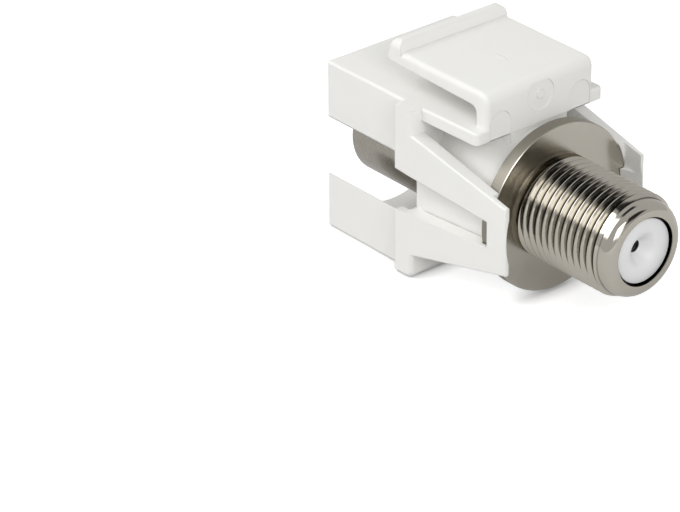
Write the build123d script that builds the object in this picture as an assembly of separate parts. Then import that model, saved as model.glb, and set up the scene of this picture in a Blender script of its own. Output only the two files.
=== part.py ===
from build123d import *
import os

# Snap-in coaxial module for a wall plate.
# A white moulded housing carries a metal adaptor along Y: at the front (-Y) a plug, which is
# a thin tube with a centre pin inside the block's bore, and at the rear (+Y) a threaded jack.
# Lengths are in millimetres. The model is laid out with the adaptor's axis on Y and the
# block's front face at y = 0, and is moved to its own frame at the very end.

# Moulded block
block_width = 14.8
block_height = 16.3
block_depth = 10.25
block_bore_radius = 7.9
block_edge_radius = 0.3

# Shoulder that stops behind the wall plate, and the bulkhead inside it
shoulder_width = 16.9
shoulder_depth = 2.15
shoulder_edge_radius = 0.4
shoulder_toe_radius = 0.7
bulkhead_thickness = 1.05

# Collar that guides the adaptor, with a flat behind each window, and the web that ties it
# to the shelf
collar_wall = 0.42
collar_flat_rise = 0.08
collar_flat_height = 5.2
web_width = 6.4
web_setback = 0.15

# Side arms with hooks that snap behind the adaptor's flange
arm_thickness = 1.45
arm_tip_inset = 0.4
arm_root_height = 11.8
arm_tip_height = 6.4
arm_edge_radius = 0.2
hook_length = 2.05
hook_grip = 0.58
hook_height = 2.6
hook_mouth_gap = 0.12
hook_side_room = 0.18
slot_root_height = 4.0
slot_tip_height = 2.45
slot_setback = 0.15

# Shelf behind the block, under the latch
shelf_width = 14.6
shelf_length = 7.1
shelf_thickness = 1.15
shelf_rise = 0.15
shelf_corner_radius = 0.5
shelf_edge_radius = 0.25

# Latch: a wall that rises from the shelf's rear end and folds forward over the block
latch_width = 12.3
latch_wall = 1.3
latch_lift = 3.35
latch_root_thickness = 1.4
latch_nose_thickness = 1.1
latch_fold_radius = 0.7
latch_heel_radius = 0.9
latch_length = 13.0
latch_edge_radius = 0.5
ridge_height = 1.0
ridge_front_rake = 0.65
ridge_top_length = 0.85
ridge_rear_rake = 0.35
ridge_front_radius = 0.6
ridge_rear_radius = 0.35
ridge_nose_radius = 0.35
ridge_end_radius = 0.9

# Ribs that brace the latch's wall on the shelf
rib_width = 1.0
rib_offset = 4.15
rib_length = 1.7
rib_height = 1.4

# Marks that the mould leaves on the latch's rear wall
arch_radius = 1.15
arch_offset = 4.6
arch_rise = 0.2
disc_radius = 1.5
disc_rise = 1.5
mark_depth = 0.12
gate_radius = 0.42

# Turned adaptor body
body_radius = 6.36
body_setback = 0.05
body_length = 9.35
body_chamfer = 0.2
flange_radius = 7.78
flange_thickness = 1.25
flange_chamfer = 0.12
thread_radius = 4.7625
thread_length = 9.45
thread_chamfer = 0.3
land_radius = 4.45
land_length = 1.05
mouth_rounding = 0.9
lip_radius = 3.15
lip_thickness = 0.8
jack_bore_radius = 3.5

# Plug tube, pressed into the body as far as the groove and the seat behind it
tube_radius = 4.75
tube_wall = 0.4
tube_seat_depth = 4.1
tube_seat_chamfer = 0.45
tube_mouth_chamfer = 0.12
tube_groove_depth = 0.2
tube_groove_width = 0.5

# Centre contact: a pin at the plug end and a slotted socket at the jack end
pin_setback = 0.7
pin_tip_radius = 0.9
pin_taper_length = 2.2
pin_radius = 1.175
stem_radius = 1.4
contact_collar_radius = 2.4
contact_collar_thickness = 0.8
socket_radius = 1.25
socket_bore_radius = 0.55
socket_bore_depth = 5.5
socket_slit_width = 0.3
socket_slit_length = 5.0
socket_setback = 0.8

# Insulators
plug_insulator_length = 6.3
plug_insulator_chamfer = 0.3
nose_radius = 2.97
nose_setback = 0.12
funnel_radius = 1.35
funnel_depth = 1.35
conductor_hole_radius = 0.7
conductor_hole_length = 0.15

# Clearances
press_gap = 0.02
collar_gap = 0.04
arm_gap = 0.1
flange_gap = 0.07
snap_gap = 0.05

# Stations along the axis that several pieces share
shoulder_rear = block_depth + shoulder_depth
bulkhead_front = shoulder_rear - bulkhead_thickness
shelf_rear = shoulder_rear + shelf_length
body_front = bulkhead_front + body_setback
tube_seat = body_front + tube_seat_depth
flange_front = body_front + body_length
flange_rear = flange_front + flange_thickness
hook_front = flange_rear + snap_gap
arm_tip = hook_front + hook_length
thread_end = flange_rear + thread_length
jack_end = thread_end + thread_chamfer + land_length
lip_rear = jack_end - lip_thickness
insulator_face = jack_end - nose_setback

# Radii and heights that several pieces share
collar_bore_radius = body_radius + collar_gap
collar_radius = collar_bore_radius + collar_wall
collar_flat = collar_radius + collar_flat_rise
arm_inside = collar_flat + arm_gap
block_top = block_height / 2
shelf_top = block_top + shelf_rise
plate_top = block_top + latch_lift
latch_nose = shelf_rear - latch_length
wall_inside = shelf_rear - latch_wall
ridge_foot = latch_nose + ridge_front_rake + ridge_top_length + ridge_rear_rake
seat_radius = tube_radius + press_gap
tube_bore_radius = tube_radius - tube_wall


def rod(radius, start, end):
    """A cylinder along Y."""
    place = Pos(0, start, 0) * Rot(-90, 0, 0)
    return place * Cylinder(radius, end - start, align=(Align.CENTER, Align.CENTER, Align.MIN))


def turned(face):
    """A solid of revolution about Y from a face drawn as (radius, y)."""
    return revolve(face, axis=Axis.Y)


def outline(*points):
    """A closed face through the points."""
    return make_face(Polyline(*points, close=True))


def rounded(face, corner, radius):
    """The face with its vertex nearest to the corner rounded."""
    return fillet(face.vertices().sort_by_distance((*corner, 0))[0], radius)


def beveled(face, corner, length):
    """The face with its vertex nearest to the corner chamfered."""
    return chamfer(face.vertices().sort_by_distance((*corner, 0))[0], length)


def across(width, height, y, x=0):
    """A rectangle square to the axis at station y."""
    plane = Plane((x, y, 0), x_dir=(1, 0, 0), z_dir=(0, -1, 0))
    return plane * Rectangle(width, height)


def spread(face, width):
    """A side outline drawn as (y, z), made into a solid of this width about x = 0."""
    return extrude(Plane.YZ * face, amount=width / 2, both=True)


def slab(width, start, end, bottom, top):
    """A box centred on the axis in X."""
    middle = Pos(0, (start + end) / 2, (bottom + top) / 2)
    return middle * Box(width, end - start, top - bottom)


def block():
    """The front block, solid, with its long edges rounded."""
    solid = extrude(across(block_width, block_height, 0), amount=-block_depth)
    return fillet(solid.edges().filter_by(Axis.Y), block_edge_radius)


def shoulder():
    """The wider band behind the block, with its lower rear edge rounded."""
    solid = extrude(across(shoulder_width, block_height, block_depth), amount=-shoulder_depth)
    toe = solid.faces().sort_by(Axis.Y)[-1].edges().sort_by(Axis.Z)[0]
    solid = fillet(toe, shoulder_toe_radius)
    sides = solid.edges().filter_by(Axis.Z).group_by(Axis.Y)[-1]
    return fillet(sides, shoulder_edge_radius)


def shelf():
    """The sloped top wall that runs back from the shoulder to the latch."""
    side = outline(
        (block_depth, block_top - shelf_thickness),
        (block_depth, block_top),
        (shoulder_rear, block_top),
        (shelf_rear, shelf_top),
        (shelf_rear, shelf_top - shelf_thickness),
        (shoulder_rear, block_top - shelf_thickness),
    )
    solid = spread(side, shelf_width)
    corners = solid.edges().filter_by(Axis.Z).group_by(Axis.Y)[-1]
    solid = fillet(corners, shelf_corner_radius)
    rim = [edge for edge in solid.faces().sort_by(Axis.Z)[-1].edges()
           if edge.center().Y > shoulder_rear + shelf_edge_radius]
    return fillet(rim, shelf_edge_radius)


def latch_underside(y):
    """Height of the latch plate's sloped underside at station y."""
    low = plate_top - latch_root_thickness
    high = plate_top - latch_nose_thickness
    return high + (low - high) * (y - latch_nose) / (wall_inside - latch_nose)


def latch_plate():
    """The wall that rises from the shelf and the plate that it folds into."""
    front = ridge_foot - ridge_top_length / 2
    heel = (shelf_rear, plate_top)
    fold = (wall_inside, latch_underside(wall_inside))
    side = outline(
        (shelf_rear, shelf_top - shelf_thickness),
        heel,
        (front, plate_top),
        (front, latch_underside(front)),
        fold,
        (wall_inside, shelf_top - shelf_thickness),
    )
    side = rounded(side, heel, latch_heel_radius)
    side = rounded(side, fold, latch_fold_radius)
    solid = spread(side, latch_width)
    rims = solid.edges().filter_by(Axis.Y).group_by(Axis.Z)[-1]
    return fillet(rims, latch_edge_radius)


def latch_ridge():
    """The ridge along the latch's front edge, which hooks over the wall plate."""
    nose = (latch_nose, latch_underside(latch_nose))
    front_top = (latch_nose + ridge_front_rake, plate_top + ridge_height)
    rear_top = (ridge_foot - ridge_rear_rake, plate_top + ridge_height)
    side = outline(
        nose,
        front_top,
        rear_top,
        (ridge_foot, plate_top),
        (ridge_foot, latch_underside(ridge_foot)),
    )
    side = rounded(side, front_top, ridge_front_radius)
    side = rounded(side, rear_top, ridge_rear_radius)
    side = rounded(side, nose, ridge_nose_radius)
    stock = slab(latch_width, latch_nose, ridge_foot, 0, plate_top + ridge_height)
    rims = stock.edges().filter_by(Axis.Y).group_by(Axis.Z)[-1]
    return spread(side, latch_width) & fillet(rims, ridge_end_radius)


def latch_rib(side):
    """One rib in the corner between the shelf and the latch's wall; side is 1 or -1."""
    rib = slab(rib_width, wall_inside - rib_length, wall_inside + latch_wall / 2,
               shelf_top - shelf_thickness / 2, shelf_top + rib_height)
    return Pos(side * rib_offset, 0, 0) * rib


def mould_marks():
    """Two arches at the foot of the latch's rear wall and a disc between them."""
    floor = shelf_rear - mark_depth
    cutters = Part()
    for side in (-1, 1):
        middle = shelf_top + arch_rise
        cutters += Pos(side * arch_offset, 0, middle) * rod(arch_radius, floor, shelf_rear)
        cutters += Pos(side * arch_offset, 0, 0) * slab(
            2 * arch_radius, floor, shelf_rear, shelf_top - shelf_thickness, middle)
    disc = rod(disc_radius, floor, shelf_rear) - rod(gate_radius, floor, shelf_rear)
    return cutters + Pos(0, 0, shelf_top + disc_rise) * disc


def arm(side):
    """One tapering arm, plain on the inside, that starts in the shoulder; side is 1 or -1."""
    root = shoulder_rear - shoulder_edge_radius
    root_outside = arm_inside + arm_thickness
    tip_outside = root_outside - arm_tip_inset
    flank = outline((root, -arm_root_height / 2), (arm_tip, -arm_tip_height / 2),
                    (arm_tip, arm_tip_height / 2), (root, arm_root_height / 2))
    plan = outline((side * arm_inside, root), (side * root_outside, root),
                   (side * tip_outside, arm_tip), (side * arm_inside, arm_tip))
    solid = spread(flank, 2 * root_outside) & extrude(plan, amount=arm_root_height / 2, both=True)
    outside = solid.faces().sort_by(Axis.X)[-1 if side > 0 else 0]
    free_edges = outside.edges().sort_by(Axis.Y)[1:]
    return fillet(free_edges, arm_edge_radius)


def slot(side):
    """The cutter for one tapering side window through the shoulder and the arm."""
    reach = shoulder_width
    start = side * (collar_flat + reach / 2)
    root = across(reach, slot_root_height, block_depth, start)
    tip = across(reach, slot_tip_height, flange_rear - slot_setback, start)
    return loft([root, tip], ruled=True)


def flange_pocket():
    """The groove that holds the flange, the cone that leads it in past the hooks, and the
    room above and below each hook."""
    groove = rod(flange_radius + flange_gap, flange_front, hook_front)
    hook_inside = flange_radius - hook_grip
    mouth = flange_radius + hook_mouth_gap
    cone = turned(outline((0, hook_front), (hook_inside, hook_front), (mouth, arm_tip), (0, arm_tip)))
    room_inside = flange_radius - hook_side_room
    room = slab(2 * room_inside, hook_front, arm_tip, -arm_tip_height, arm_tip_height)
    room -= slab(shoulder_width, hook_front, arm_tip, -hook_height / 2, hook_height / 2)
    return groove + cone + room


def make_housing():
    """The one-piece moulding: block, shoulder, collar, shelf, latch and arms."""
    shell = block() + shoulder() + shelf() + latch_plate() + latch_ridge()
    for side in (-1, 1):
        shell += arm(side) + latch_rib(side)
    shell -= flange_pocket()
    shell += rod(collar_radius, bulkhead_front, flange_front)
    shell += slab(2 * collar_flat, bulkhead_front, flange_front,
                  -collar_flat_height / 2, collar_flat_height / 2)
    web_end = shelf_rear - web_setback
    web = outline((block_depth, 0), (block_depth, block_top - shelf_thickness / 2),
                  (web_end, shelf_top - shelf_thickness / 2), (web_end, 0))
    shell += spread(web, web_width)
    shell -= rod(block_bore_radius, 0, bulkhead_front)
    shell -= rod(collar_bore_radius, bulkhead_front, flange_front)
    for side in (-1, 1):
        shell -= slot(side)
    return shell - mould_marks()


def make_adaptor_body():
    """The turned body: front sleeve, flange and jack, bored from the plug end up to its lip."""
    face = outline(
        (seat_radius + tube_seat_chamfer, body_front),
        (body_radius, body_front),
        (body_radius, flange_front),
        (flange_radius, flange_front),
        (flange_radius, flange_rear),
        (thread_radius, flange_rear),
        (thread_radius, thread_end),
        (land_radius, thread_end + thread_chamfer),
        (land_radius, jack_end),
        (lip_radius, jack_end),
        (lip_radius, lip_rear),
        (jack_bore_radius, lip_rear),
        (jack_bore_radius, tube_seat),
        (seat_radius, tube_seat),
        (seat_radius, body_front + tube_seat_chamfer),
    )
    face = rounded(face, (land_radius, jack_end), mouth_rounding)
    face = beveled(face, (flange_radius, flange_front), flange_chamfer)
    face = beveled(face, (flange_radius, flange_rear), flange_chamfer)
    face = beveled(face, (body_radius, body_front), body_chamfer)
    return turned(face)


def make_plug_tube():
    """The plain outer tube of the plug, with a narrow groove where it enters the body."""
    groove_end = body_front + tube_groove_width
    groove_radius = tube_radius - tube_groove_depth
    face = outline(
        (tube_bore_radius, 0),
        (tube_radius, 0),
        (tube_radius, body_front),
        (groove_radius, body_front),
        (groove_radius, groove_end),
        (tube_radius, groove_end),
        (tube_radius, tube_seat),
        (tube_bore_radius, tube_seat),
    )
    return turned(beveled(face, (tube_radius, 0), tube_mouth_chamfer))


def make_centre_contact():
    """One turned contact: pin, stem, collar and a socket slit into four fingers."""
    nose = pin_setback + pin_tip_radius
    stem_start = tube_seat - plug_insulator_length
    collar_end = tube_seat + contact_collar_thickness
    mouth = insulator_face - funnel_depth - conductor_hole_length - socket_setback
    solid = turned(outline(
        (0, nose),
        (pin_tip_radius, nose),
        (pin_radius, nose + pin_taper_length),
        (pin_radius, stem_start),
        (stem_radius, stem_start),
        (stem_radius, tube_seat),
        (contact_collar_radius, tube_seat),
        (contact_collar_radius, collar_end),
        (socket_radius, collar_end),
        (socket_radius, mouth),
        (0, mouth),
    ))
    solid += Pos(0, nose, 0) * Sphere(pin_tip_radius)
    solid -= rod(socket_bore_radius, mouth - socket_bore_depth, mouth)
    slit = extrude(across(2 * contact_collar_radius, socket_slit_width, mouth), amount=socket_slit_length)
    return solid - slit - Rot(0, 90, 0) * slit


def make_plug_insulator():
    """The disc deep inside the tube that holds the contact's stem."""
    start = tube_seat - plug_insulator_length
    radius = tube_bore_radius - press_gap
    face = outline((stem_radius + press_gap, start), (radius, start),
                   (radius, tube_seat), (stem_radius + press_gap, tube_seat))
    return turned(beveled(face, (radius, start), plug_insulator_chamfer))


def make_jack_insulator():
    """The sleeve around the socket, with a funnel that leads the cable's conductor in."""
    start = tube_seat + contact_collar_thickness
    funnel_floor = insulator_face - funnel_depth
    pocket_end = funnel_floor - conductor_hole_length
    radius = jack_bore_radius - press_gap
    return turned(outline(
        (socket_radius + press_gap, start),
        (radius, start),
        (radius, lip_rear),
        (nose_radius, lip_rear),
        (nose_radius, insulator_face),
        (funnel_radius, insulator_face),
        (conductor_hole_radius, funnel_floor),
        (conductor_hole_radius, pocket_end),
        (socket_radius + press_gap, pocket_end),
    ))


nodes = {
    "housing": make_housing(),
    "adaptor_body": make_adaptor_body(),
    "plug_tube": make_plug_tube(),
    "centre_contact": make_centre_contact(),
    "plug_insulator": make_plug_insulator(),
    "jack_insulator": make_jack_insulator(),
}

# Own frame: origin under the middle of the length, on the plane that the block stands on
to_own_frame = Pos(0, -jack_end / 2, block_top)
os.makedirs("parts", exist_ok=True)
for name, solid in nodes.items():
    export_step(to_own_frame * solid, f"parts/{name}.step")
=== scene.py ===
import bpy
import bmesh
import math
from mathutils import Euler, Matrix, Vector


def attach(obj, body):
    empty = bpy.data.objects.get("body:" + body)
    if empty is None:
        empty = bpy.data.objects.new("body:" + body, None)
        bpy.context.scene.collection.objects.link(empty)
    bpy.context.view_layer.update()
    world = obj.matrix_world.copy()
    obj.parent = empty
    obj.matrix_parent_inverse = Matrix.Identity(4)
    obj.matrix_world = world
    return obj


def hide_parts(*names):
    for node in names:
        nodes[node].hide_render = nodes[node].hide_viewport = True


# White snap-in module with a nickel adaptor. Sizes in the dictionaries are mm unless they say
# otherwise. Radii count from the connector's axis, and stations along it from the block's front
# face. Only the camera and the gate's mark have their places in the row's own frame.

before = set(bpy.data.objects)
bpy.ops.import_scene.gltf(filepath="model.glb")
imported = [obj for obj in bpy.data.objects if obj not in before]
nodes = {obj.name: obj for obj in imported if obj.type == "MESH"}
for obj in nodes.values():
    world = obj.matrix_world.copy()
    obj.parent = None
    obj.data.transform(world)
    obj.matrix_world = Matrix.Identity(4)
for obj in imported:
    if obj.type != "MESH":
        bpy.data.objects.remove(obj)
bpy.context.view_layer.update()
print("frame loaded:", ", ".join(sorted(nodes)))

mm = 0.001
layout = {"axisHeight": 8.15, "frontFace": -16.4}     # Z of the axis and Y of the block's front

# Camera

view = {
    "place": (208.08, 228.12, 168.01),
    "turn": (61.585, 0.407, 140.237),                 # degrees
    "lens": 211.96,
    "sensor": 36.0,
    "clip": (10.0, 20000.0),
}
camera = bpy.data.objects.new("camera", bpy.data.cameras.new("camera"))
bpy.context.scene.collection.objects.link(camera)
camera.location = [value * mm for value in view["place"]]
camera.rotation_euler = Euler([math.radians(value) for value in view["turn"]])
camera.data.lens = view["lens"]
camera.data.sensor_width = view["sensor"]
camera.data.clip_start, camera.data.clip_end = [value * mm for value in view["clip"]]
bpy.context.scene.camera = camera
bpy.context.scene.view_settings.view_transform = "Standard"
print("camera set")

# Shader maths


class Wire:                               # a node's output, so that shader maths reads as maths
    def __init__(self, tree, socket=None):
        self.tree = tree
        self.socket = socket

    def node(self, kind, settings=None, inputs=None, output=0):
        made = self.tree.nodes.new(kind)
        for name, value in (settings or {}).items():
            setattr(made, name, value)
        for name, value in (inputs or {}).items():
            if isinstance(value, Wire):
                self.tree.links.new(value.socket, made.inputs[name])
            else:
                made.inputs[name].default_value = value
        return Wire(self.tree, made.outputs[output] if len(made.outputs) else None)

    def maths(self, operation, *values):
        return self.node("ShaderNodeMath", {"operation": operation}, dict(enumerate(values)))

    def __add__(self, other):
        return self.maths("ADD", self, other)

    def __sub__(self, other):
        return self.maths("SUBTRACT", self, other)

    def __rsub__(self, other):
        return self.maths("SUBTRACT", other, self)

    def __mul__(self, other):
        return self.maths("MULTIPLY", self, other)

    def __rmul__(self, other):
        return self.maths("MULTIPLY", other, self)

    def __truediv__(self, other):
        return self.maths("DIVIDE", self, other)

    def __pow__(self, other):
        return self.maths("POWER", self, other)

    def noise(self, scale, detail, roughness=0.5):    # 0 to 1, self is the place
        return self.node("ShaderNodeTexNoise", {}, {
            "Vector": self, "Scale": scale, "Detail": detail, "Roughness": roughness})

    def mixed(self, first, second):                   # self is the share of the second colour
        ends = [end if isinstance(end, Wire) else (*end, 1) for end in (first, second)]
        inputs = {0: self, 6: ends[0], 7: ends[1]}
        return self.node("ShaderNodeMix", {"data_type": "RGBA"}, inputs, output=2)

    def eased(self, low, high):                       # a smooth step from 0 at low to 1 at high
        return self.node("ShaderNodeMapRange", {"interpolation_type": "SMOOTHSTEP"}, {
            "Value": self, "From Min": low, "From Max": high})


def newMaterial(name):
    material = bpy.data.materials.new(name)
    material.use_nodes = True
    material.node_tree.nodes.clear()
    start = Wire(material.node_tree)
    place = start.node("ShaderNodeTexCoord", output="Object")
    return material, start, place


def finishMaterial(start, inputs):
    shader = start.node("ShaderNodeBsdfPrincipled", {}, inputs)
    start.node("ShaderNodeOutputMaterial", {}, {"Surface": shader})


bumpDepth = 0.02                          # what a bump of strength 1 stands for


def bumped(look, height, more=None):      # a bump of the look's strength
    return height.node("ShaderNodeBump", {}, {
        "Strength": look["bump"], "Distance": bumpDepth * mm, "Height": height, **(more or {})})


def within(share, span):                  # a share from 0 to 1 laid over a look's span
    low, high = span
    return share * (high - low) + low


def aroundAxis(start, place):             # radius and station of a place, in mm
    parts = [start.node("ShaderNodeSeparateXYZ", {}, {0: place}, output=axis) for axis in "XYZ"]
    side = parts[0] / mm
    station = parts[1] / mm - layout["frontFace"]
    rise = parts[2] / mm - layout["axisHeight"]
    return (side * side + rise * rise) ** 0.5, station


def latheRings(start, reach, station, look):
    return start.node("ShaderNodeCombineXYZ", {}, {0: reach, 1: station}).noise(*look["turning"])


# Materials. A noise has a scale, a detail and, where it isn't the usual, a roughness. A pair of
# radii or stations is where a change starts and ends.

mouthGap = {                              # painted shade: the ring round the white disc is painted dark
    "inner": (2.92, 2.97), "outer": (3.25, 3.30), "depth": (32.6, 32.77),
}


def gapShade(reach, station):             # painted shade: 1 in the open, 0 deep in the gap round the disc
    ring = reach.eased(*mouthGap["inner"]) * (1 - reach.eased(*mouthGap["outer"]))
    return 1 - ring * (1 - station.eased(*mouthGap["depth"]))


mouldedPlastic = {
    "light": (0.875, 0.87, 0.845), "deep": (0.85, 0.845, 0.815), "roughness": (0.40, 0.52),
    "grain": (2600.0, 2.0, 0.6), "cloud": (260.0, 3.0), "bump": 0.12,
    "edge": 0.10, "edgeSamples": 6,       # rounding of the shading at sharp edges
    "refraction": 1.49,
}


def plasticMaterial(name, look):
    material, start, place = newMaterial(name)
    grain = place.noise(*look["grain"])
    edge = start.node("ShaderNodeBevel", {"samples": look["edgeSamples"]},
                      {"Radius": look["edge"] * mm})
    finishMaterial(start, {
        "Base Color": place.noise(*look["cloud"]).mixed(look["deep"], look["light"]),
        "Roughness": within(grain, look["roughness"]),
        "Normal": bumped(look, grain, {"Normal": edge}), "IOR": look["refraction"]})
    return material


platedNickel = {
    "light": (0.56, 0.53, 0.47), "deep": (0.48, 0.45, 0.395), "roughness": (0.05, 0.14),
    "turning": (5.0, 4.0, 0.65), "cloud": (420.0, 3.0), "bump": 0.10,
    "paintedShade": (0.01, 0.01, 0.01),         # painted shade, in the gap round the disc
    "groove": (0.06, 0.054, 0.045), "grooveReach": (4.34, 4.50),       # painted shade at the thread's roots
    "grooveStart": (22.0, 22.1), "grooveEnd": (31.5, 31.6),
    "faceReach": (4.9, 5.0), "faceRoughness": 0.10,                    # the flange's face
    "edge": (0.30, 0.28, 0.24), "edgeReach": (7.72, 7.77), "edgeRoughness": 0.30,  # and its rim
}
satinNickel = dict(                       # duller, for the plug's tube and pin
    platedNickel, light=(0.42, 0.395, 0.35), deep=(0.33, 0.305, 0.265), roughness=(0.20, 0.34),
    turning=(8.0, 4.0, 0.65), bump=0.2)


def nickelMaterial(name, look):
    material, start, place = newMaterial(name)
    reach, station = aroundAxis(start, place)
    rings = latheRings(start, reach, station, look)
    cloud = place.noise(*look["cloud"])
    face = reach.eased(*look["faceReach"])
    edge = reach.eased(*look["edgeReach"])
    # painted shade in the thread's roots, over the threaded length
    groove = (1 - reach.eased(*look["grooveReach"])) * station.eased(*look["grooveStart"])
    groove = groove * (1 - station.eased(*look["grooveEnd"]))
    outside = edge.mixed(cloud.mixed(look["deep"], look["light"]), look["edge"])
    plated = groove.mixed(outside, look["groove"])
    finishMaterial(start, {
        # the base colour carries painted shade in the gap round the disc
        "Base Color": gapShade(reach, station).mixed(look["paintedShade"], plated), "Metallic": 1.0,
        "Roughness": within(rings * 0.5 + cloud * 0.5, look["roughness"])
        + face * look["faceRoughness"] + edge * look["edgeRoughness"],
        "Normal": bumped(look, rings)})
    return material


whiteDisc = {
    "light": (0.83, 0.83, 0.83), "deep": (0.78, 0.78, 0.78), "roughness": (0.28, 0.4),
    "turning": (3.0, 3.0), "cloud": (600.0, 3.0), "bump": 0.1, "refraction": 1.45,
    # the throat, the hole behind the funnel, is painted dark as shade
    "paintedShade": (0.01, 0.01, 0.01), "throat": (1.2, 1.3), "throatEnd": (31.34, 31.38),
}
brownDisc = dict(                         # its painted shade in the throat lies outside the piece and darkens nothing
    whiteDisc, light=(0.060, 0.042, 0.030), deep=(0.035, 0.024, 0.017), roughness=(0.5, 0.7),
    bump=0.3, throat=(0.1, 0.2), throatEnd=(-0.04, 0.0))


def insulatorMaterial(name, look):
    material, start, place = newMaterial(name)
    reach, station = aroundAxis(start, place)
    cloud = place.noise(*look["cloud"])
    # painted shade: dark in the throat and in the gap round the disc
    throat = (1 - reach.eased(*look["throat"])) * (1 - station.eased(*look["throatEnd"]))
    lit = gapShade(reach, station) * (1 - throat)
    finishMaterial(start, {
        "Base Color": lit.mixed(look["paintedShade"], cloud.mixed(look["deep"], look["light"])),
        "Roughness": within(cloud, look["roughness"]),
        "Normal": bumped(look, latheRings(start, reach, station, look)),
        "IOR": look["refraction"]})
    return material


whiteMoulding = plasticMaterial("whiteMoulding", mouldedPlastic)
nickel = nickelMaterial("platedNickel", platedNickel)
satin = nickelMaterial("satinNickel", satinNickel)
whiteInsulator = insulatorMaterial("whiteInsulator", whiteDisc)
brownInsulator = insulatorMaterial("brownInsulator", brownDisc)
print("materials made")

# Small modelling helpers

weld = 1e-6                               # metres, vertices nearer than this become one
fineWeld = 1e-7
spinSteps = 96                            # steps of one turn round the axis


def onlySelect(obj):
    bpy.ops.object.select_all(action="DESELECT")
    obj.select_set(True)
    bpy.context.view_layer.objects.active = obj


def toAll(operator, **settings):          # an edit-mode operator on the whole mesh
    bpy.ops.mesh.select_all(action="SELECT")
    operator(**settings)


def profileWire(name, points):            # a chain of (radius, station) points, left in edit mode
    bpy.ops.object.select_all(action="DESELECT")
    bpy.ops.mesh.primitive_plane_add(
        size=0.1 * mm, location=(0, layout["frontFace"] * mm, layout["axisHeight"] * mm))
    obj = bpy.context.object
    obj.name = name
    bpy.ops.object.mode_set(mode="EDIT")
    bpy.ops.mesh.merge(type="CENTER")
    reach, station = points[0]
    toAll(bpy.ops.transform.translate, value=(reach * mm, station * mm, 0))
    for before, after in zip(points, points[1:]):
        step = ((after[0] - before[0]) * mm, (after[1] - before[1]) * mm, 0)
        bpy.ops.mesh.extrude_vertices_move(TRANSFORM_OT_translate={"value": step})
    return obj


def spinPiece(name, points):              # a closed profile turned all the way round the axis
    obj = profileWire(name, list(points) + [points[0]])
    toAll(bpy.ops.mesh.remove_doubles, threshold=weld)
    toAll(bpy.ops.mesh.spin, steps=spinSteps, angle=2 * math.pi, center=obj.location,
          axis=(0, 1, 0))
    toAll(bpy.ops.mesh.remove_doubles, threshold=weld)
    toAll(bpy.ops.mesh.normals_make_consistent, inside=False)
    bpy.ops.object.mode_set(mode="OBJECT")
    return obj


def applied(obj, kind, **settings):       # a modifier, made and applied
    onlySelect(obj)
    modifier = obj.modifiers.new(kind.lower(), kind)
    for name, value in settings.items():
        setattr(modifier, name, value)
    bpy.ops.object.modifier_apply(modifier=modifier.name)


def combined(obj, other, operation):
    applied(obj, "BOOLEAN", object=other, operation=operation, solver="EXACT")
    bpy.data.objects.remove(other, do_unlink=True)


def placed(obj, material, smoothing, slot, *stoodFor):     # shading, finish and body of a piece
    onlySelect(obj)
    bpy.ops.object.transform_apply(location=True, rotation=True, scale=True)
    bpy.ops.object.shade_smooth_by_angle(angle=math.radians(smoothing))
    obj.data.materials.clear()
    obj.data.materials.append(material)
    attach(obj, "root")
    if stoodFor:
        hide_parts(*stoodFor)
    print(obj.name, "made,", len(obj.data.polygons), "faces")


def smoothCopy(node, name, material, slot, smoothing):     # a merged copy, for a CAD node
    obj = bpy.data.objects.new(name, nodes[node].data.copy())
    bpy.context.scene.collection.objects.link(obj)
    onlySelect(obj)
    bpy.ops.object.mode_set(mode="EDIT")
    toAll(bpy.ops.mesh.remove_doubles, threshold=weld)
    bpy.ops.mesh.dissolve_degenerate(threshold=fineWeld)
    bpy.ops.mesh.customdata_custom_splitnormals_clear()
    bpy.ops.object.mode_set(mode="OBJECT")
    placed(obj, material, smoothing, slot, node)


# Body of the jack, without its thread

jack = {
    "bodyFront": 11.40, "bodyRadius": 6.36, "bodyChamfer": 0.2,
    "seatRadius": 4.77, "seatChamfer": 0.45, "tubeSeat": 15.5,         # where the plug's tube sits
    "flangeFront": 20.75, "flangeRear": 22.0, "flangeRadius": 7.78, "flangeEdge": 0.08,
    "coreRadius": 4.2, "landSlope": 0.25, "landStart": 31.55, "landRadius": 4.38,
    "end": 32.8, "mouthRounding": 1.0, "mouthSteps": 8,
    "lipRadius": 3.15, "lip": 0.8, "boreRadius": 3.5,
    "smoothing": 20,                      # degrees, edges flatter than this are shaded smooth
}


def arc(centre, radius, first, last, count):          # points on a round, angles in degrees
    turn = [math.radians(first + (last - first) * i / count) for i in range(count + 1)]
    return [(centre[0] + radius * math.cos(a), centre[1] + radius * math.sin(a)) for a in turn]


def turnedBody():
    size = jack
    mouth = (size["landRadius"] - size["mouthRounding"], size["end"] - size["mouthRounding"])
    return spinPiece("jackBody", [
        (size["seatRadius"] + size["seatChamfer"], size["bodyFront"]),
        (size["bodyRadius"] - size["bodyChamfer"], size["bodyFront"]),
        (size["bodyRadius"], size["bodyFront"] + size["bodyChamfer"]),
        (size["bodyRadius"], size["flangeFront"]),
        (size["flangeRadius"] - size["flangeEdge"], size["flangeFront"]),
        (size["flangeRadius"], size["flangeFront"] + size["flangeEdge"]),
        (size["flangeRadius"], size["flangeRear"] - size["flangeEdge"]),
        (size["flangeRadius"] - size["flangeEdge"], size["flangeRear"]),
        (size["coreRadius"], size["flangeRear"]),
        (size["coreRadius"], size["landStart"] - size["landSlope"]),
        (size["landRadius"], size["landStart"]),
        *arc(mouth, size["mouthRounding"], 0, 90, size["mouthSteps"]),
        (size["lipRadius"], size["end"]),
        (size["lipRadius"], size["end"] - size["lip"]),
        (size["boreRadius"], size["end"] - size["lip"]),
        (size["boreRadius"], size["tubeSeat"]),
        (size["seatRadius"], size["tubeSeat"]),
        (size["seatRadius"], size["bodyFront"] + size["seatChamfer"]),
    ])


# Thread on the jack

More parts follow.
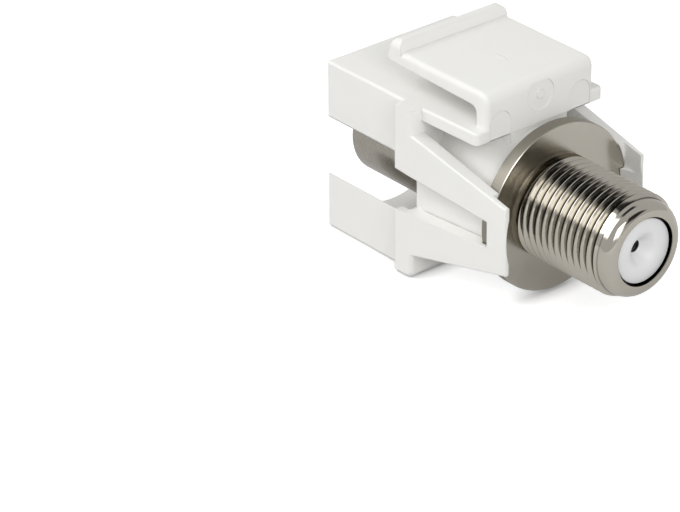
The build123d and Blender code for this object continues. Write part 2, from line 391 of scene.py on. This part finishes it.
thread = {
    "crest": 4.7625, "root": 4.28, "pitch": 0.79375, "steps": 96,
    "wave": (                             # root to crest, as shares of the pitch and of the depth
        (0, 0.0), (0.06, 0.01), (0.10, 0.06), (0.425, 0.95), (0.46, 0.99), (0.5, 1.0)),
    "start": 21.9, "fullEnd": 31.0, "end": 31.65,     # the thread fades out between the last two
    "ring": 4.0, "clearance": 0.2,
    "spareTurns": 3, "early": 1.5,        # turns that are cut off in all, and before the start
}


def threadRod():                          # a solid rod of thread, longer than what is used
    size = thread
    turns = math.ceil((size["end"] - size["start"]) / size["pitch"]) + size["spareTurns"]
    first = size["start"] - size["early"] * size["pitch"]
    depth = size["crest"] - size["root"]
    wave = [(size["root"] + depth * height, first + size["pitch"] * share)
            for share, height in size["wave"]]
    top = wave[-1][1]
    wave += [(reach, 2 * top - station) for reach, station in reversed(wave[:-1])]
    rod = profileWire("threadCoil", wave)
    bpy.ops.object.mode_set(mode="OBJECT")
    applied(rod, "SCREW", axis="Y", angle=2 * math.pi, screw_offset=size["pitch"] * mm,
            iterations=turns, steps=size["steps"], render_steps=size["steps"],
            use_merge_vertices=True, merge_threshold=weld, use_smooth_shade=False)
    bpy.ops.object.mode_set(mode="EDIT")
    toAll(bpy.ops.mesh.remove_doubles, threshold=fineWeld)
    middle = (first + turns * size["pitch"] / 2) * mm
    for end in (-1, 1):                   # one cap on each open end
        bpy.ops.mesh.select_mode(type="EDGE")
        bpy.ops.mesh.select_all(action="DESELECT")
        bpy.ops.mesh.select_non_manifold()
        for edge in bmesh.from_edit_mesh(rod.data).edges:
            if edge.select and end * (edge.verts[0].co.y - middle) < 0:
                edge.select = False
        bmesh.update_edit_mesh(rod.data)
        bpy.ops.mesh.edge_face_add()
    toAll(bpy.ops.mesh.normals_make_consistent, inside=False)
    bpy.ops.object.mode_set(mode="OBJECT")
    return rod


def threadedBody():
    size = thread
    body = turnedBody()
    rod = threadRod()
    envelope = spinPiece("threadEnvelope", [
        (size["ring"], size["start"]),
        (size["crest"] + size["clearance"], size["start"]),
        (size["crest"] + size["clearance"], size["fullEnd"]),
        (size["root"], size["end"]),
        (size["ring"], size["end"]),
    ])
    combined(rod, envelope, "INTERSECT")
    combined(body, rod, "UNION")
    placed(body, nickel, jack["smoothing"], "nickel", "adaptor_body")


# White insulator in the jack's mouth

sleeve = {
    "start": 16.3, "boreRadius": 1.27, "bodyRadius": 3.48, "shoulder": 32.0,
    "noseRadius": 2.96, "face": 32.56, "faceEdge": 0.06,
    "funnel": (                           # from the hole out to the face
        (0.56, 31.33), (0.78, 31.64), (1.02, 31.99), (1.24, 32.27), (1.44, 32.44),
        (1.64, 32.53), (1.82, 32.56)),
    "holeRadius": 0.52, "holeMouth": 31.29, "pocket": 31.18, "smoothing": 50,
}


def whiteSleeve():
    size = sleeve
    disc = spinPiece("jackDisc", [
        (size["boreRadius"], size["start"]),
        (size["bodyRadius"], size["start"]),
        (size["bodyRadius"], size["shoulder"]),
        (size["noseRadius"], size["shoulder"]),
        (size["noseRadius"], size["face"] - size["faceEdge"]),
        (size["noseRadius"] - size["faceEdge"], size["face"]),
        *reversed(size["funnel"]),
        (size["holeRadius"], size["holeMouth"]),
        (size["holeRadius"], size["pocket"]),
        (size["boreRadius"], size["pocket"]),
    ])
    placed(disc, whiteInsulator, size["smoothing"], "white_insulator", "jack_insulator")


# Mark of the mould's gate on the latch

gateMark = {
    "place": (0.08, -1.95), "across": 0.5, "along": 1.8, "sides": 32,
    "top": 19.74, "foot": 19.55, "rim": 0.12, "pit": 0.07,
    "rounding": 0.03, "roundingSteps": 2, "smoothing": 40,
}


def gateNub():                            # an oval with a shallow pit in its top
    size = gateMark
    side, along = size["place"]
    bpy.ops.object.select_all(action="DESELECT")
    bpy.ops.mesh.primitive_cylinder_add(
        vertices=size["sides"], radius=mm / 2, depth=(size["top"] - size["foot"]) * mm,
        location=(side * mm, along * mm, (size["top"] + size["foot"]) / 2 * mm))
    nub = bpy.context.object
    nub.name = "gateMark"
    nub.scale = (size["across"], size["along"], 1)
    bpy.ops.object.transform_apply(location=True, rotation=True, scale=True)
    for face in nub.data.polygons:        # the top alone
        face.select = face.normal.z > 0.9
    bpy.ops.object.mode_set(mode="EDIT")
    bpy.ops.mesh.inset(thickness=size["rim"] * mm)
    bpy.ops.transform.translate(value=(0, 0, -size["pit"] * mm))
    bpy.ops.object.mode_set(mode="OBJECT")
    applied(nub, "BEVEL", width=size["rounding"] * mm, segments=size["roundingSteps"],
            limit_method="ANGLE")
    placed(nub, whiteMoulding, size["smoothing"], "white_plastic")


threadedBody()
smoothCopy("housing", "moulding", whiteMoulding, "white_plastic", smoothing=24)
smoothCopy("plug_tube", "plugSleeve", satin, "nickel", smoothing=30)
smoothCopy("centre_contact", "centrePin", satin, "nickel", smoothing=30)
whiteSleeve()
smoothCopy("plug_insulator", "plugDisc", brownInsulator, "brown_insulator", smoothing=30)
gateNub()

# Floor, world and lamp

paper = {
    "size": 2400.0, "colour": 0.6, "roughness": 0.9, "specular": 0.1,
    "glow": 0.75, "mirrored": 0.28,       # its own light, and the share of it that metal shows
    "contact": 1.6, "samples": 12,        # reach of the shading where the part lies on it
}
studio = {
    "base": 0.63,                         # level outside the panels
    "panels": (                           # degrees round Y from up towards +X, and share of Y
        {"turn": (19, 63), "along": (-0.80, -0.22), "level": 3.5},     # long soft box beside it
        {"turn": (-24, 11), "along": (-0.40, -0.04), "level": 0.03},   # dark flag above it
        {"turn": (-60, 0), "along": (0.66, 0.92), "level": 0.03},      # dark flag before it
        {"turn": (10, 60), "along": (0.90, 0.99), "level": 2.0},       # small box at the jack's end
    ),
    "panelEdge": (5, 0.04),               # how soft an edge is, in degrees and in the share of Y
}
lamps = {                                 # far from the axis above the origin, power in watts
    "keyLamp": {"way": (0.36, 0.79, 0.49), "far": 300, "size": 140, "power": 0.29},
}


def floorPlane():
    look = paper
    bpy.ops.object.select_all(action="DESELECT")
    bpy.ops.mesh.primitive_plane_add(size=look["size"] * mm, location=(0, 0, 0))
    floor = bpy.context.object
    floor.name = "floor"
    material, start, place = newMaterial("paper")
    seen = start.node("ShaderNodeLightPath", output="Is Camera Ray")
    mirrored = start.node("ShaderNodeLightPath", output="Is Glossy Ray")
    around = start.node("ShaderNodeAmbientOcclusion", {"samples": look["samples"]},
                        {"Distance": look["contact"] * mm}, output="AO")
    glow = seen * around + mirrored * look["mirrored"]
    finishMaterial(start, {
        "Base Color": (look["colour"],) * 3 + (1,), "Roughness": look["roughness"],
        "Specular IOR Level": look["specular"],
        "Emission Color": glow.mixed((0, 0, 0), (1, 1, 1)), "Emission Strength": look["glow"]})
    floor.data.materials.append(material)


def whiteWorld():
    world = bpy.data.worlds.new("paperWhite")
    bpy.context.scene.world = world
    world.use_nodes = True
    world.node_tree.nodes.clear()
    start = Wire(world.node_tree)
    way = start.node("ShaderNodeTexCoord", output="Generated")
    level = start.node("ShaderNodeValue")
    level.socket.default_value = studio["base"]
    side, along, up = [
        start.node("ShaderNodeSeparateXYZ", {}, {0: way}, output=axis) for axis in "XYZ"]
    turn = side.maths("ARCTAN2", side, up) * math.degrees(1)
    for panel in studio["panels"]:
        share = 1
        spans = (panel["turn"], panel["along"])
        for reading, (low, high), soft in zip((turn, along), spans, studio["panelEdge"]):
            share = share * reading.eased(low - soft, low + soft)
            share = share * (1 - reading.eased(high - soft, high + soft))
        level = level + share * (panel["level"] - level)
    seen = start.node("ShaderNodeLightPath", output="Is Camera Ray")
    grey = seen + (1 - seen) * level      # the camera sees plain white
    shade = start.node("ShaderNodeCombineColor", {}, {"Red": grey, "Green": grey, "Blue": grey})
    backdrop = start.node("ShaderNodeBackground", {}, {"Color": shade, "Strength": 1.0})
    start.node("ShaderNodeOutputWorld", {}, {"Surface": backdrop})


def softLamp(name, look):                 # a square lamp that faces the connector's axis
    lamp = bpy.data.objects.new(name, bpy.data.lights.new(name, "AREA"))
    bpy.context.scene.collection.objects.link(lamp)
    way = Vector(look["way"]).normalized()
    lamp.location = way * look["far"] * mm + Vector((0, 0, layout["axisHeight"] * mm))
    lamp.rotation_euler = way.to_track_quat("Z", "Y").to_euler()
    lamp.data.size = look["size"] * mm
    lamp.data.energy = look["power"]


floorPlane()
whiteWorld()
for name, look in lamps.items():
    softLamp(name, look)
print("studio lit")
